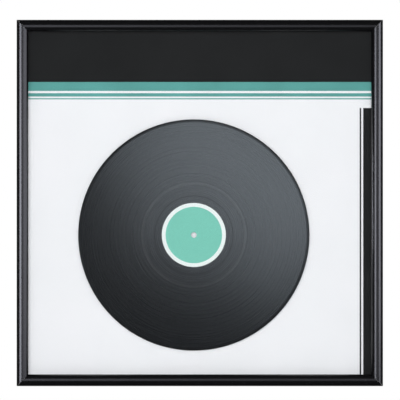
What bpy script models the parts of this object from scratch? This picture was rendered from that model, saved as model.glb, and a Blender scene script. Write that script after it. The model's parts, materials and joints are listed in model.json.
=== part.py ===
"""Square wall frame that shows a 12-inch vinyl record over a printed card.

Four mitred rails of one domed moulding hold a stack in their rebate: clear pane, spacer strips, printed card
with the record on foam pads, and a backing board that eight turn buttons keep in. Two sawtooth hangers and two
bumpers meet the wall.

Metres, +Z up, the front faces -Y. The origin is the hanging point: on the wall, midway between the two
hangers, at the height of their notches.
"""

import math

import bmesh
import bpy
from mathutils import Matrix, Vector

# Clearances, how far a cutter runs past what it cuts, and how near points are one point
SEAT_GAP = 0.0003
OVERRUN = 0.001
MERGE_DISTANCE = 0.000003

# Record: a 12-inch disc, and what shows of the card around it
RECORD_RADIUS = 0.1508
LEFT_MARGIN = 0.0649
RIGHT_MARGIN = 0.0805
BOTTOM_MARGIN = 0.0309
SPINDLE_HOLE_RADIUS = 0.00363
LABEL_RADIUS = 0.0418
LABEL_THICKNESS = 0.0003
LAND_WIDTH = 0.0087
LAND_SLOPE = 0.0015
LAND_HALF_THICKNESS = 0.0016
GROOVE_HALF_THICKNESS = 0.00095
RIM_HALF_THICKNESS = 0.0014
RIM_WIDTH = 0.0045
RIM_SLOPE = 0.0012
GAP_RING_WIDTH = 0.0009
GAP_RING_DEPTH = 0.0002
# Rings without sound, from the run-out at the label's land to the lead-in at the rim
GAP_RING_SHARES = (0.133, 0.195, 0.454, 0.527, 0.671, 0.791, 0.855)

# Foam pads between the record and the card
PAD_RADIUS = 0.006
PAD_THICKNESS = 0.0015

# Stack in the rebate
AIR_OVER_RECORD = 0.0015
PANE_THICKNESS = 0.002
CARD_THICKNESS = 0.001
BOARD_THICKNESS = 0.003
INSERT_PLAY = 0.0005
SPACER_SETBACK = 0.0005

# Moulding
RAIL_FACE = 0.0152
LIP_WIDTH = 0.0055
LIP_THICKNESS = 0.002
CROWN_RISE = 0.0032
OUTER_EDGE_RADIUS = 0.001
SIGHT_EDGE_RADIUS = 0.0005

# V-nails in the backs of the mitres
V_NAIL_HALF_SPAN = 0.0026
V_NAIL_HALF_RISE = 0.0009
V_NAIL_THICKNESS = 0.0006
V_NAIL_HEIGHT = 0.007
V_NAIL_PLACE_SHARES = (0.34, 0.66)

# Turn buttons and their screws
BUTTON_LENGTH = 0.0285
BUTTON_HEAD_RADIUS = 0.0043
BUTTON_TIP_RADIUS = 0.0031
BUTTON_THICKNESS = 0.001
BUTTON_PLACE_SHARE = 0.26
SCREW_SHANK_RADIUS = 0.0013
SCREW_SHANK_LENGTH = 0.010
SCREW_TIP_LENGTH = 0.002
SCREW_HEAD_RADIUS = 0.0029
SCREW_HEAD_HEIGHT = 0.0014

# Sawtooth hangers and their nails
HANGER_LENGTH = 0.045
HANGER_HEIGHT = 0.0076
HANGER_THICKNESS = 0.0009
HANGER_STANDOFF = 0.0013
HANGER_FOOT_LENGTH = 0.0065
HANGER_RAMP_LENGTH = 0.0015
HANGER_CORNER_CUT = 0.0015
HANGER_PLACE_SHARE = 0.13
TOOTH_PITCH = 0.0026
TOOTH_DEPTH = 0.0013
NAIL_SHANK_RADIUS = 0.0006
NAIL_SHANK_LENGTH = 0.009
NAIL_TIP_LENGTH = 0.0015
NAIL_HEAD_RADIUS = 0.0015
NAIL_HEAD_HEIGHT = 0.0006

# Bumpers at the lower corners
BUMPER_RADIUS = 0.0042
BUMPER_FLAT_RADIUS = 0.0026
BUMPER_HEIGHT = 0.003

# Facets of round pieces
RECORD_SEGMENTS = 84
LABEL_SEGMENTS = 60
PAD_SEGMENTS = 20
SCREW_SEGMENTS = 12
NAIL_SEGMENTS = 10
BUMPER_SEGMENTS = 20
BUTTON_END_SEGMENTS = 9
CROWN_SEGMENTS = 12
EDGE_SEGMENTS = 4
RIM_SEGMENTS = 6
DOME_SEGMENTS = 3
# Share of a domed head's height that is its upright brim
BRIM_SHARE = 1 / 3
SHARP_ANGLE = math.radians(30)

# Square sizes of the frame
SIGHT_SIZE = 2 * RECORD_RADIUS + LEFT_MARGIN + RIGHT_MARGIN
REBATE_SIZE = SIGHT_SIZE + 2 * LIP_WIDTH
INSERT_SIZE = REBATE_SIZE - 2 * INSERT_PLAY
OUTER_SIZE = SIGHT_SIZE + 2 * RAIL_FACE
BACK_WIDTH = RAIL_FACE - LIP_WIDTH
MITRE_SETBACK = SEAT_GAP / math.sqrt(2)

# Depths, counted forward from the rails' backs, where y is zero in the frame's own space
BOARD_FRONT = -BOARD_THICKNESS
CARD_BACK = BOARD_FRONT - SEAT_GAP
CARD_FRONT = CARD_BACK - CARD_THICKNESS
PAD_BACK = CARD_FRONT - SEAT_GAP
PAD_FRONT = PAD_BACK - PAD_THICKNESS
RECORD_MIDDLE = PAD_FRONT - SEAT_GAP - LAND_HALF_THICKNESS
SPACER_BACK = CARD_FRONT - SEAT_GAP
SPACER_FRONT = RECORD_MIDDLE - LAND_HALF_THICKNESS - AIR_OVER_RECORD
PANE_BACK = SPACER_FRONT - SEAT_GAP
PANE_FRONT = PANE_BACK - PANE_THICKNESS
LIP_BACK = PANE_FRONT - SEAT_GAP
RAIL_DEPTH = LIP_THICKNESS + CROWN_RISE - LIP_BACK

# Places in the frame's own space, whose origin is the middle of the rails' backs
RECORD_X = (LEFT_MARGIN - RIGHT_MARGIN) / 2
RECORD_Z = BOTTOM_MARGIN + RECORD_RADIUS - SIGHT_SIZE / 2
BACK_LINE = OUTER_SIZE / 2 - BACK_WIDTH / 2
BUTTON_PLACE = BUTTON_PLACE_SHARE * OUTER_SIZE
HANGER_PLACE = HANGER_PLACE_SHARE * OUTER_SIZE
HANGER_NAIL_PLACE = HANGER_LENGTH / 2 - HANGER_FOOT_LENGTH / 2
HANGING_LINE = BACK_LINE - HANGER_HEIGHT / 2 + TOOTH_DEPTH
BUMPER_PLACE = OUTER_SIZE / 2 - RAIL_FACE - BUMPER_RADIUS
WALL_GAP = SEAT_GAP + BUMPER_HEIGHT

# Each side of the frame is the top side turned about Y
SIDES = (("top", 0), ("right", 90), ("bottom", 180), ("left", 270))
# On each side, the name of the end at +X and of the end at -X before the turn
SIDE_ENDS = {
    "top": ("right", "left"),
    "right": ("lower", "upper"),
    "bottom": ("left", "right"),
    "left": ("upper", "lower"),
}
# Each corner is the top right one turned about Y
CORNERS = (("top_right", 0), ("bottom_right", 90), ("bottom_left", 180), ("top_left", 270))
HANDS = (("right", 1), ("left", -1))


def finish(name, colour, roughness, metallic=0.0, alpha=1.0):
    """A Principled material of one colour."""
    material = bpy.data.materials.new(name)
    material.use_nodes = True
    shader = material.node_tree.nodes["Principled BSDF"]
    shader.inputs["Base Color"].default_value = (*colour, 1.0)
    shader.inputs["Roughness"].default_value = roughness
    shader.inputs["Metallic"].default_value = metallic
    shader.inputs["Alpha"].default_value = alpha
    return material


def side_turn(degrees):
    return Matrix.Rotation(math.radians(degrees), 4, "Y")


def arc(centre, radius, start, end, segments):
    """Points along an arc, with angles in radians."""
    points = []
    for step in range(segments + 1):
        angle = start + (end - start) * step / segments
        points.append((centre[0] + radius * math.cos(angle), centre[1] + radius * math.sin(angle)))
    return points


def add_prism(bm, outline, y_from, y_to, place=Matrix()):
    """Extrude a closed outline, given as x and z, from one depth to another."""
    ring = [bm.verts.new(place @ Vector((x, y_from, z))) for x, z in outline]
    face = bm.faces.new(ring)
    grown = bmesh.ops.extrude_face_region(bm, geom=[face])
    moved = [item for item in grown["geom"] if isinstance(item, bmesh.types.BMVert)]
    bmesh.ops.translate(bm, verts=moved, vec=Vector((0, y_to - y_from, 0)))


def add_slab(bm, width, height, y_from, y_to, centre_z=0):
    size = Matrix.Diagonal((width, y_to - y_from, height, 1))
    place = Matrix.Translation((0, (y_from + y_to) / 2, centre_z))
    bmesh.ops.create_cube(bm, size=1, matrix=place @ size)


def add_turning(bm, profile, segments, place=Matrix(), closed=False):
    """Turn a profile, given as radius and y, round the Y axis."""
    points = [bm.verts.new((radius, y, 0)) for radius, y in profile]
    edges = [bm.edges.new(pair) for pair in zip(points, points[1:])]
    if closed:
        edges.append(bm.edges.new((points[-1], points[0])))
    before = set(bm.verts) - set(points)
    bmesh.ops.spin(
        bm, geom=edges, axis=(0, 1, 0), cent=(0, 0, 0), angle=2 * math.pi, steps=segments, use_merge=True
    )
    turned = [vert for vert in bm.verts if vert not in before]
    on_axis = [vert for vert in turned if math.hypot(vert.co.x, vert.co.z) < MERGE_DISTANCE]
    bmesh.ops.remove_doubles(bm, verts=on_axis, dist=MERGE_DISTANCE)
    turned = [vert for vert in bm.verts if vert not in before]
    bmesh.ops.transform(bm, matrix=place, verts=turned)


def dome_profile(flat_radius, radius, foot, height):
    """An upright brim and a quarter of an ellipse over it, from the outer radius to the flat on top."""
    brim = BRIM_SHARE * height
    profile = []
    for across_share, up_share in arc((0, 0), 1, 0, math.pi / 2, DOME_SEGMENTS):
        across = flat_radius + across_share * (radius - flat_radius)
        profile.append((across, foot + brim + up_share * (height - brim)))
    profile[-1] = (flat_radius, foot + height)
    return profile


def add_disc(bm, radius, y_from, y_to, segments, place=Matrix()):
    add_turning(bm, [(0, y_from), (radius, y_from), (radius, y_to), (0, y_to)], segments, place)


def make_mesh(name, bm, material=None, smooth=False):
    bmesh.ops.recalc_face_normals(bm, faces=bm.faces[:])
    mesh = bpy.data.meshes.new(name)
    bm.to_mesh(mesh)
    bm.free()
    if material:
        mesh.materials.append(material)
    if smooth:
        mesh.shade_smooth()
        mesh.set_sharp_from_angle(angle=SHARP_ANGLE)
    return mesh


def add_object(name, mesh, parent, location=(0, 0, 0), degrees=0):
    """Put a mesh in the scene. Copies of a repeated piece share theirs."""
    piece = bpy.data.objects.new(name, mesh)
    piece.parent = parent
    piece.location = location
    piece.rotation_euler = (0, math.radians(degrees), 0)
    bpy.context.collection.objects.link(piece)
    return piece


def cut(piece, bm):
    """Cut the bodies in bm, given in the piece's own space, out of the piece."""
    name = piece.name + "_cutter"
    cutter = add_object(name, make_mesh(name, bm), piece)
    cutter.hide_render = True
    cutter.display_type = "WIRE"
    boolean = piece.modifiers.new("cut", "BOOLEAN")
    boolean.operation = "DIFFERENCE"
    boolean.solver = "EXACT"
    boolean.object = cutter


def edge_round(crown_radius, edge_radius):
    """Depth of the centre of an arc from the crown to a side wall, and the angle where it meets the crown."""
    reach = crown_radius - edge_radius
    aside = RAIL_FACE / 2 - edge_radius
    drop = math.sqrt(reach * reach - aside * aside)
    return crown_radius - drop, math.atan2(drop, aside)


def moulding_outline():
    """Section of a rail, as distance in from the outer side and depth behind the crown's top.

    The crown is one shallow arc, symmetric on the face, joined to both side walls by small arcs.
    """
    crown_radius = ((RAIL_FACE / 2) ** 2 + CROWN_RISE**2) / (2 * CROWN_RISE)
    outer_depth, outer_angle = edge_round(crown_radius, OUTER_EDGE_RADIUS)
    sight_depth, sight_angle = edge_round(crown_radius, SIGHT_EDGE_RADIUS)
    outer_centre = (OUTER_EDGE_RADIUS, outer_depth)
    sight_centre = (RAIL_FACE - SIGHT_EDGE_RADIUS, sight_depth)
    crown_centre = (RAIL_FACE / 2, crown_radius)
    outline = arc(outer_centre, OUTER_EDGE_RADIUS, math.pi, math.pi + outer_angle, EDGE_SEGMENTS)
    outline += arc(
        crown_centre, crown_radius, math.pi + outer_angle, 2 * math.pi - sight_angle, CROWN_SEGMENTS
    )[1:]
    outline += arc(sight_centre, SIGHT_EDGE_RADIUS, 2 * math.pi - sight_angle, 2 * math.pi, EDGE_SEGMENTS)[1:]
    lip_depth = CROWN_RISE + LIP_THICKNESS
    outline += [(RAIL_FACE, lip_depth), (BACK_WIDTH, lip_depth), (BACK_WIDTH, RAIL_DEPTH), (0, RAIL_DEPTH)]
    return outline


def v_outline(clearance):
    """A chevron about the mitre line, which runs along z, grown by a clearance on all its walls."""
    half_span = V_NAIL_HALF_SPAN + clearance
    slope = math.atan2(2 * V_NAIL_HALF_RISE, V_NAIL_HALF_SPAN)
    half_rise = V_NAIL_HALF_RISE
    half_wall = (V_NAIL_THICKNESS / 2 + clearance) / math.cos(slope)
    end = -half_rise + 2 * half_rise * half_span / V_NAIL_HALF_SPAN
    return [
        (-half_span, end + half_wall),
        (0, -half_rise + half_wall),
        (half_span, end + half_wall),
        (half_span, end - half_wall),
        (0, -half_rise - half_wall),
        (-half_span, end - half_wall),
    ]


def v_nail_places(corner_degrees):
    """Middle and turn of the outer and the inner V-nail on one mitre."""
    degrees = 45 + corner_degrees
    diagonal = BACK_WIDTH * math.sqrt(2)
    places = []
    for share in V_NAIL_PLACE_SHARES:
        out = OUTER_SIZE / math.sqrt(2) - share * diagonal
        places.append((side_turn(degrees) @ Vector((0, 0, out)), degrees))
    return places


def add_rail(side, degrees, parent, material):
    """One rail, made as the top rail and turned to its side."""
    bm = bmesh.new()
    outline = moulding_outline()
    half = OUTER_SIZE / 2
    ends = half - MITRE_SETBACK
    ring = [bm.verts.new((inward - ends, depth - RAIL_DEPTH, half - inward)) for inward, depth in outline]
    face = bm.faces.new(ring)
    grown = bmesh.ops.extrude_face_region(bm, geom=[face])
    for item in grown["geom"]:
        if isinstance(item, bmesh.types.BMVert):
            item.co.x = -item.co.x
    name = "rail_" + side
    rail = add_object(name, make_mesh(name, bm, material, smooth=True), parent, degrees=degrees)

    holes = bmesh.new()
    for corner_degrees in (0, -90):
        for middle, turn in v_nail_places(corner_degrees):
            place = Matrix.Translation(middle) @ side_turn(turn)
            add_prism(holes, v_outline(SEAT_GAP), -V_NAIL_HEIGHT - 2 * SEAT_GAP, OVERRUN, place)
    for way in (1, -1):
        add_pilot_hole(holes, way * BUTTON_PLACE, SCREW_SHANK_RADIUS, SCREW_SHANK_LENGTH, SCREW_SEGMENTS)
    if side == "top":
        for _, x in nail_places():
            add_pilot_hole(holes, x, NAIL_SHANK_RADIUS, NAIL_SHANK_LENGTH, NAIL_SEGMENTS)
    cut(rail, holes)


def add_pilot_hole(bm, x, shank_radius, shank_length, segments):
    place = Matrix.Translation((x, 0, BACK_LINE))
    add_disc(bm, shank_radius + SEAT_GAP, -shank_length - SEAT_GAP, OVERRUN, segments, place)


def nail_places():
    """Name and x of each hanger nail, one through each foot of both hangers."""
    for hand, way in HANDS:
        yield hand + "_outer", way * (HANGER_PLACE + HANGER_NAIL_PLACE)
        yield hand + "_inner", way * (HANGER_PLACE - HANGER_NAIL_PLACE)


def add_v_nails(parent, material):
    bm = bmesh.new()
    add_prism(bm, v_outline(0), -V_NAIL_HEIGHT - SEAT_GAP, -SEAT_GAP)
    mesh = make_mesh("v_nail", bm, material)
    for corner, degrees in CORNERS:
        for row, (middle, turn) in zip(("outer", "inner"), v_nail_places(degrees)):
            add_object(f"v_nail_{corner}_{row}", mesh, parent, middle, turn)


def add_insert(parent, pane_material, card_material, board_material):
    """Pane, card and board, which share one square size."""
    layers = (
        ("front_pane", PANE_FRONT, PANE_BACK, pane_material),
        ("insert_card", CARD_FRONT, CARD_BACK, card_material),
        ("backing_board", BOARD_FRONT, 0, board_material),
    )
    for name, front, back, material in layers:
        bm = bmesh.new()
        add_slab(bm, INSERT_SIZE, INSERT_SIZE, front, back)
        add_object(name, make_mesh(name, bm, material), parent)


def add_spacers(parent, material):
    """Strips hidden behind the lip: the top and bottom ones run through, the side ones stand between them."""
    width = LIP_WIDTH - INSERT_PLAY - SPACER_SETBACK
    middle = INSERT_SIZE / 2 - width / 2
    between = INSERT_SIZE - 2 * width - 2 * SEAT_GAP
    for side, degrees in SIDES:
        bm = bmesh.new()
        length = INSERT_SIZE if side in ("top", "bottom") else between
        add_slab(bm, length, width, SPACER_FRONT, SPACER_BACK, centre_z=middle)
        name = "spacer_" + side
        add_object(name, make_mesh(name, bm, material), parent, degrees=degrees)


def record_face(with_gap_rings):
    """Radius and height over the disc's middle plane, from the spindle hole to the foot of the rim bead."""
    seat = LAND_HALF_THICKNESS - LABEL_THICKNESS - SEAT_GAP
    seat_radius = LABEL_RADIUS + SEAT_GAP
    land_radius = seat_radius + LAND_WIDTH
    inner = land_radius + LAND_SLOPE
    outer = RECORD_RADIUS - RIM_WIDTH
    face = [
        (SPINDLE_HOLE_RADIUS, seat),
        (seat_radius, seat),
        (seat_radius, LAND_HALF_THICKNESS),
        (land_radius, LAND_HALF_THICKNESS),
        (inner, GROOVE_HALF_THICKNESS),
    ]
    if with_gap_rings:
        for share in GAP_RING_SHARES:
            radius = inner + share * (outer - inner)
            face += [
                (radius - GAP_RING_WIDTH / 2, GROOVE_HALF_THICKNESS),
                (radius, GROOVE_HALF_THICKNESS - GAP_RING_DEPTH),
                (radius + GAP_RING_WIDTH / 2, GROOVE_HALF_THICKNESS),
            ]
    face.append((outer, GROOVE_HALF_THICKNESS))
    return face


def add_record(parent, disc_material, front_material, back_material):
    """The pressed disc, turned from one section, and the paper labels in the recesses of both faces."""
    rim_start = RECORD_RADIUS - RIM_WIDTH + RIM_SLOPE
    rim_centre = (RECORD_RADIUS - RIM_HALF_THICKNESS, 0)
    front = [(radius, -height) for radius, height in record_face(True)]
    rim = [(rim_start, -RIM_HALF_THICKNESS)]
    rim += arc(rim_centre, RIM_HALF_THICKNESS, -math.pi / 2, math.pi / 2, RIM_SEGMENTS)
    rim += [(rim_start, RIM_HALF_THICKNESS)]
    bm = bmesh.new()
    add_turning(bm, front + rim + record_face(False)[::-1], RECORD_SEGMENTS, closed=True)
    middle = (RECORD_X, RECORD_MIDDLE, RECORD_Z)
    add_object("record_disc", make_mesh("record_disc", bm, disc_material, smooth=True), parent, middle)

    hole = SPINDLE_HOLE_RADIUS + SEAT_GAP
    outside = LAND_HALF_THICKNESS
    inside = LAND_HALF_THICKNESS - LABEL_THICKNESS
    for name, way, material in (("front", -1, front_material), ("back", 1, back_material)):
        near, far = way * inside, way * outside
        bm = bmesh.new()
        section = [(hole, near), (LABEL_RADIUS, near), (LABEL_RADIUS, far), (hole, far)]
        add_turning(bm, section, LABEL_SEGMENTS, closed=True)
        name = "record_label_" + name
        add_object(name, make_mesh(name, bm, material, smooth=True), parent, middle)


def add_foam_pads(parent, material):
    """Pads in a ring between the spindle hole and the label's edge, one towards each corner."""
    bm = bmesh.new()
    add_disc(bm, PAD_RADIUS, PAD_FRONT, PAD_BACK, PAD_SEGMENTS)
    mesh = make_mesh("foam_pad", bm, material, smooth=True)
    ring_radius = (SPINDLE_HOLE_RADIUS + LABEL_RADIUS) / 2
    for corner, degrees in CORNERS:
        aside = side_turn(45 + degrees) @ Vector((0, 0, ring_radius))
        add_object("foam_pad_" + corner, mesh, parent, Vector((RECORD_X, 0, RECORD_Z)) + aside)


def button_loops():
    """A turn button's outline, with its pivot at the origin and its arm along -z, and its pivot hole."""
    reach = BUTTON_LENGTH - BUTTON_HEAD_RADIUS - BUTTON_TIP_RADIUS
    lean = math.asin((BUTTON_HEAD_RADIUS - BUTTON_TIP_RADIUS) / reach)
    head = arc((0, 0), BUTTON_HEAD_RADIUS, -lean, math.pi + lean, BUTTON_END_SEGMENTS)
    tip = arc((0, -reach), BUTTON_TIP_RADIUS, math.pi + lean, 2 * math.pi - lean, BUTTON_END_SEGMENTS)
    outer = head + tip
    steps = len(outer)
    hole_radius = SCREW_SHANK_RADIUS + SEAT_GAP
    hole = arc((0, 0), hole_radius, -lean, 2 * math.pi - lean, steps)[:-1]
    return outer, hole


def button_places():
    """Name, pivot and turn of each turn button."""
    for side, degrees in SIDES:
        for end, way in zip(SIDE_ENDS[side], (1, -1)):
            yield f"{side}_{end}", side_turn(degrees) @ Vector((way * BUTTON_PLACE, 0, BACK_LINE)), degrees


def add_turn_buttons(parent, material):
    """Two buttons on each rail, each with its origin on its screw's axis and its arm over the board."""
    bm = bmesh.new()
    loops = []
    for loop in button_loops():
        verts = [bm.verts.new((x, SEAT_GAP, z)) for x, z in loop]
        loops += [bm.edges.new(pair) for pair in zip(verts, verts[1:] + verts[:1])]
    plate = bmesh.ops.bridge_loops(bm, edges=loops)["faces"]
    grown = bmesh.ops.extrude_face_region(bm, geom=plate)
    moved = [item for item in grown["geom"] if isinstance(item, bmesh.types.BMVert)]
    bmesh.ops.translate(bm, verts=moved, vec=Vector((0, BUTTON_THICKNESS, 0)))
    mesh = make_mesh("turn_button", bm, material, smooth=True)
    for name, place, degrees in button_places():
        add_object("turn_button_" + name, mesh, parent, place, degrees)


def fastener_profile(shank_radius, shank_length, tip_length, head_radius, head_height, under_head):
    """Half section of a screw or nail, from the point in the rail to the top of the domed head."""
    profile = [(0, -shank_length), (shank_radius, tip_length - shank_length), (shank_radius, under_head)]
    profile.append((head_radius, under_head))
    profile += dome_profile(0, head_radius, under_head, head_height)
    return profile


def add_button_screws(parent, material):
    bm = bmesh.new()
    under_head = 2 * SEAT_GAP + BUTTON_THICKNESS
    shank = (SCREW_SHANK_RADIUS, SCREW_SHANK_LENGTH, SCREW_TIP_LENGTH)
    profile = fastener_profile(*shank, SCREW_HEAD_RADIUS, SCREW_HEAD_HEIGHT, under_head)
    add_turning(bm, profile, SCREW_SEGMENTS)
    mesh = make_mesh("button_screw", bm, material, smooth=True)
    for name, place, degrees in button_places():
        add_object("button_screw_" + name, mesh, parent, place, degrees)


def hanger_stations():
    """Stations along a hanger: x, height off the rail, top edge, and the bottom edge, which has the teeth."""
    half = HANGER_LENGTH / 2
    ramp = half - HANGER_FOOT_LENGTH
    raised = ramp - HANGER_RAMP_LENGTH
    top = HANGER_HEIGHT / 2
    teeth = int(2 * raised / TOOTH_PITCH)
    pitch = 2 * raised / teeth
    low = SEAT_GAP
    high = SEAT_GAP + HANGER_STANDOFF
    corner = top - HANGER_CORNER_CUT
    stations = [
        (-half, low, corner, -corner),
        (HANGER_CORNER_CUT - half, low, top, -top),
        (-ramp, low, top, -top),
        (-raised, high, top, -top),
    ]
    for tooth in range(teeth):
        left = tooth * pitch - raised
        stations.append((left + pitch / 2, high, top, TOOTH_DEPTH - top))
        stations.append((left + pitch, high, top, -top))
    stations += [(-x, rise, upper, lower) for x, rise, upper, lower in stations[2::-1]]
    return stations


def add_hanger(hand, way, parent, material):
    """A bent strip, lofted through its stations, with a nail hole in each foot."""
    bm = bmesh.new()
    last = None
    first = None
    for x, rise, upper, lower in hanger_stations():
        back = rise + HANGER_THICKNESS
        corners = ((rise, upper), (rise, lower), (back, lower), (back, upper))
        ring = [bm.verts.new((x, y, z)) for y, z in corners]
        if last:
            for here in range(4):
                after = (here + 1) % 4
                bm.faces.new((last[here], last[after], ring[after], ring[here]))
        first = first or ring
        last = ring
    bm.faces.new(first)
    bm.faces.new(last)
    name = "hanger_" + hand
    hanger = add_object(name, make_mesh(name, bm, material), parent, (way * HANGER_PLACE, 0, BACK_LINE))

    holes = bmesh.new()
    for x in (-HANGER_NAIL_PLACE, HANGER_NAIL_PLACE):
        place = Matrix.Translation((x, 0, 0))
        top = SEAT_GAP + HANGER_THICKNESS + OVERRUN
        add_disc(holes, NAIL_SHANK_RADIUS + SEAT_GAP, SEAT_GAP - OVERRUN, top, NAIL_SEGMENTS, place)
    cut(hanger, holes)


def add_hanger_nails(parent, material):
    bm = bmesh.new()
    under_head = 2 * SEAT_GAP + HANGER_THICKNESS
    shank = (NAIL_SHANK_RADIUS, NAIL_SHANK_LENGTH, NAIL_TIP_LENGTH)
    profile = fastener_profile(*shank, NAIL_HEAD_RADIUS, NAIL_HEAD_HEIGHT, under_head)
    add_turning(bm, profile, NAIL_SEGMENTS)
    mesh = make_mesh("hanger_nail", bm, material, smooth=True)
    for name, x in nail_places():
        add_object("hanger_nail_" + name, mesh, parent, (x, 0, BACK_LINE))


def add_bumpers(parent, material):
    """Domed bumpers with flat tops, at the lower corners of the back."""
    bm = bmesh.new()
    profile = [(0, SEAT_GAP), (BUMPER_RADIUS, SEAT_GAP)]
    profile += dome_profile(BUMPER_FLAT_RADIUS, BUMPER_RADIUS, SEAT_GAP, BUMPER_HEIGHT)
    profile.append((0, SEAT_GAP + BUMPER_HEIGHT))
    add_turning(bm, profile, BUMPER_SEGMENTS)
    mesh = make_mesh("bumper", bm, material, smooth=True)
    for hand, way in HANDS:
        add_object("bumper_" + hand, mesh, parent, (way * BUMPER_PLACE, 0, -BACK_LINE))


def main():
    for item in list(bpy.data.objects):
        bpy.data.objects.remove(item)

    black_lacquer = finish("black_lacquer", (0.012, 0.012, 0.013), 0.3)
    clear_glass = finish("clear_glass", (0.95, 0.97, 0.97), 0.03, alpha=0.15)
    black_strip = finish("black_strip", (0.02, 0.02, 0.02), 0.8)
    printed_card = finish("printed_card", (0.86, 0.87, 0.89), 0.7)
    black_vinyl = finish("black_vinyl", (0.012, 0.012, 0.013), 0.25)
    teal_paper = finish("teal_paper", (0.2, 0.58, 0.48), 0.6)
    white_paper = finish("white_paper", (0.8, 0.8, 0.78), 0.6)
    white_foam = finish("white_foam", (0.8, 0.8, 0.78), 0.9)
    brown_hardboard = finish("brown_hardboard", (0.2, 0.12, 0.07), 0.75)
    blued_steel = finish("blued_steel", (0.25, 0.25, 0.26), 0.4, metallic=1.0)
    zinc_steel = finish("zinc_steel", (0.6, 0.6, 0.58), 0.35, metallic=1.0)
    brass_plate = finish("brass_plate", (0.7, 0.52, 0.25), 0.35, metallic=1.0)
    grey_rubber = finish("grey_rubber", (0.5, 0.5, 0.48), 0.6)

    frame = bpy.data.objects.new("frame_middle", None)
    frame.location = (0, -WALL_GAP, -HANGING_LINE)
    bpy.context.collection.objects.link(frame)

    for side, degrees in SIDES:
        add_rail(side, degrees, frame, black_lacquer)
    add_v_nails(frame, blued_steel)
    add_insert(frame, clear_glass, printed_card, brown_hardboard)
    add_spacers(frame, black_strip)
    add_record(frame, black_vinyl, teal_paper, white_paper)
    add_foam_pads(frame, white_foam)
    add_turn_buttons(frame, zinc_steel)
    add_button_screws(frame, zinc_steel)
    for hand, way in HANDS:
        add_hanger(hand, way, frame, brass_plate)
    add_hanger_nails(frame, brass_plate)
    add_bumpers(frame, grey_rubber)
    bpy.context.view_layer.update()


main()
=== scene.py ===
"""Looks of a square wall frame that shows a 12-inch vinyl record over a printed card.

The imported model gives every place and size. Metres, +Z up, the front faces -Y.
"""

import json
import math

import bmesh
import bpy
from mathutils import Matrix, Vector


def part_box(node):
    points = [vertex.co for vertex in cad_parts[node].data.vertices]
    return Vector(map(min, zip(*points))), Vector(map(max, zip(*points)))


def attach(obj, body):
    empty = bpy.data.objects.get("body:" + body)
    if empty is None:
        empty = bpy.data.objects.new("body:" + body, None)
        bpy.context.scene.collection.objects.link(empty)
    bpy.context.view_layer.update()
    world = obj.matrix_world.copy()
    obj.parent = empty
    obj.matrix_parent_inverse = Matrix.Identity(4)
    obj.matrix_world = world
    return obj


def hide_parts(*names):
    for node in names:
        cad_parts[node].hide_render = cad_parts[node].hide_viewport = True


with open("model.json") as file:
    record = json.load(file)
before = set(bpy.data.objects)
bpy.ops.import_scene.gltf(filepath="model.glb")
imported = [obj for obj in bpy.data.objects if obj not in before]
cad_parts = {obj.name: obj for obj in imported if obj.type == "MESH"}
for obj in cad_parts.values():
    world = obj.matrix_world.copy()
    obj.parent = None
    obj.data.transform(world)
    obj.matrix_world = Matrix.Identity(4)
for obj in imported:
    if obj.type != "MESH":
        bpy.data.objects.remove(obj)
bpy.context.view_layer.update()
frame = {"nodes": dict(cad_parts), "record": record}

TINY = 1e-7
# Edges that turn by more than this many degrees stay sharp
SHARP_ANGLE = 30

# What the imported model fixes
OUTER_LEFT, BACK_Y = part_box("rail_left")[0][0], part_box("rail_left")[1][1]
SIGHT_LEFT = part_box("rail_left")[1][0]
CROWN_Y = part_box("rail_left")[0][1]
OUTER_LOW, OUTER_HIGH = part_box("rail_bottom")[0][2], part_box("rail_top")[1][2]
OUTER_SIZE = OUTER_HIGH - OUTER_LOW
MIDDLE = Vector((0, BACK_Y, (OUTER_LOW + OUTER_HIGH) / 2))
RAIL_FACE = SIGHT_LEFT - OUTER_LEFT
RAIL_DEPTH = BACK_Y - CROWN_Y
CARD_LOW, CARD_HIGH = (Vector(corner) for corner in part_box("insert_card"))
PANE_LOW, PANE_HIGH = (Vector(corner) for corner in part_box("front_pane"))
DISC_LOW, DISC_HIGH = (Vector(corner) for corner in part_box("record_disc"))
DISC_MIDDLE = (DISC_LOW + DISC_HIGH) / 2
DISC_RADIUS = (DISC_HIGH.x - DISC_LOW.x) / 2
LAND_HALF_THICKNESS = (DISC_HIGH.y - DISC_LOW.y) / 2
LABEL_LOW, LABEL_HIGH = (Vector(corner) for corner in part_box("record_label_front"))
LABEL_RADIUS = (LABEL_HIGH.x - LABEL_LOW.x) / 2
LABEL_THICKNESS = LABEL_HIGH.y - LABEL_LOW.y

# Moulding
SEAT_GAP = 0.0003
LIP_WIDTH = 0.0055
CROWN_RISE = 0.0032
OUTER_EDGE_RADIUS = 0.001
SIGHT_EDGE_RADIUS = 0.0005
BACK_CHAMFER = 0.0003
MITRE_SETBACK = 0.00004
MITRE_CHAMFER = 0.00012
CROWN_SEGMENTS = 40
EDGE_SEGMENTS = 8
SLOT_CLEARANCE = 0.0001
CUT_OVERRUN = 0.0006
HOLE_SEGMENTS = 32

# Pane
PANE_EASE = 0.0002

# Record
SPINDLE_HOLE_RADIUS = 0.00363
LAND_WIDTH = 0.0087
LAND_SLOPE = 0.0004
GROOVE_HALF_THICKNESS = 0.00095
RIM_HALF_THICKNESS = 0.0014
RIM_WIDTH = 0.0035
RIM_START_SLOPE = math.radians(12.5)
RIM_END_SLOPE = math.radians(16.5)
# The lone grooves between the tracks: where they lie, as a share of the disc's radius, and their width
GAP_GROOVES = (
    (0.427, 0.00016),
    (0.467, 0.00013),
    (0.625, 0.00006),
    (0.675, 0.00006),
    (0.765, 0.00007),
    (0.832, 0.00007),
    (0.880, 0.00008),
)
GAP_GROOVE_SLOPE = math.radians(40)
GROOVE_PITCH = 0.0007
RISER_SHARE = 0.06
# Lean of the groove's facets, at the label and at the rim
INNER_LEAN = math.radians(1.2)
OUTER_LEAN = math.radians(7.4)
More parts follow.
